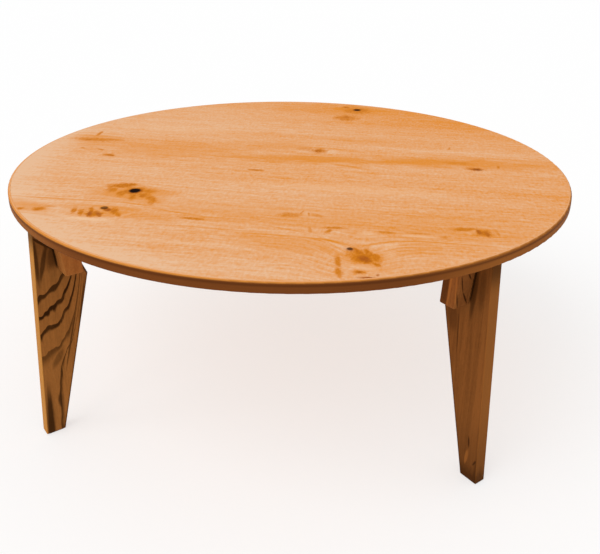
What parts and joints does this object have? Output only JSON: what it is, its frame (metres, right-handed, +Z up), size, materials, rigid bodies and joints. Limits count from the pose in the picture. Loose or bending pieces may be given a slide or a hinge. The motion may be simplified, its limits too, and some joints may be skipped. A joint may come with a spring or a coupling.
{
  "type": "folding low table",
  "caption": "Round floor table: a veneered disc on tapered plank legs, each folding inwards on a pin between two wooden hinge blocks.",
  "frame": {"origin": "on the floor, under the centre of the round top, with the legs open", "axes": "+Z up; -Y is the front; +X is to the right seen from the front; the legs stand on the diagonals; the top's grain runs along X"},
  "size_m": [0.8999, 0.9, 0.35],
  "materials": {
    "top_veneer": "knotty light orange veneer under clear satin lacquer",
    "back_veneer": "plain veneer under clear matte lacquer",
    "core_board": "bare board",
    "lipping_wood": "solid wood edge, rounded arrises, satin lacquer",
    "leg_wood": "solid wood with bold flat-sawn figure, satin lacquer",
    "block_wood": "solid wood, satin lacquer",
    "dowel_wood": "bare beech",
    "pin_steel": "turned",
    "screw_steel": "zinc plated",
    "bush_plastic": "moulded nylon, natural",
    "felt": "dark brown pressed felt"
  },
  "bodies": {
    "table_top": {"top_core": "core_board", "top_face_veneer": "top_veneer", "top_back_veneer": "back_veneer", "top_edge_lipping": "lipping_wood", "hinge_block_front_right_facing_front": "block_wood", "hinge_block_front_right_facing_right": "block_wood", "pivot_bushes_front_right": "bush_plastic", "block_dowels_front_right": "dowel_wood", "block_screws_front_right": "screw_steel", "fold_bumper_front_right": "felt", "hinge_block_rear_right_facing_right": "block_wood", "hinge_block_rear_right_facing_rear": "block_wood", "pivot_bushes_rear_right": "bush_plastic", "block_dowels_rear_right": "dowel_wood", "block_screws_rear_right": "screw_steel", "fold_bumper_rear_right": "felt", "hinge_block_rear_left_facing_rear": "block_wood", "hinge_block_rear_left_facing_left": "block_wood", "pivot_bushes_rear_left": "bush_plastic", "block_dowels_rear_left": "dowel_wood", "block_screws_rear_left": "screw_steel", "fold_bumper_rear_left": "felt", "hinge_block_front_left_facing_left": "block_wood", "hinge_block_front_left_facing_front": "block_wood", "pivot_bushes_front_left": "bush_plastic", "block_dowels_front_left": "dowel_wood", "block_screws_front_left": "screw_steel", "fold_bumper_front_left": "felt"},
    "leg_assembly_front_right": {"leg_front_right": "leg_wood", "pivot_pin_front_right": "pin_steel", "foot_pad_front_right": "felt"},
    "leg_assembly_rear_right": {"leg_rear_right": "leg_wood", "pivot_pin_rear_right": "pin_steel", "foot_pad_rear_right": "felt"},
    "leg_assembly_rear_left": {"leg_rear_left": "leg_wood", "pivot_pin_rear_left": "pin_steel", "foot_pad_rear_left": "felt"},
    "leg_assembly_front_left": {"leg_front_left": "leg_wood", "pivot_pin_front_left": "pin_steel", "foot_pad_front_left": "felt"}
  },
  "joints": [
    {"name": "fold_leg_front_right", "type": "hinge", "parent": "table_top", "child": "leg_assembly_front_right", "pos_m": [0.28284, -0.28284, 0.29205], "axis": [0.7071, 0.7071, 0], "range_deg": [0, 103]},
    {"name": "fold_leg_rear_right", "type": "hinge", "parent": "table_top", "child": "leg_assembly_rear_right", "pos_m": [0.28284, 0.28284, 0.29205], "axis": [-0.7071, 0.7071, 0], "range_deg": [0, 103]},
    {"name": "fold_leg_rear_left", "type": "hinge", "parent": "table_top", "child": "leg_assembly_rear_left", "pos_m": [-0.28284, 0.28284, 0.29205], "axis": [-0.7071, -0.7071, 0], "range_deg": [0, 103]},
    {"name": "fold_leg_front_left", "type": "hinge", "parent": "table_top", "child": "leg_assembly_front_left", "pos_m": [-0.28284, -0.28284, 0.29205], "axis": [0.7071, -0.7071, 0], "range_deg": [0, 103]}
  ]
}
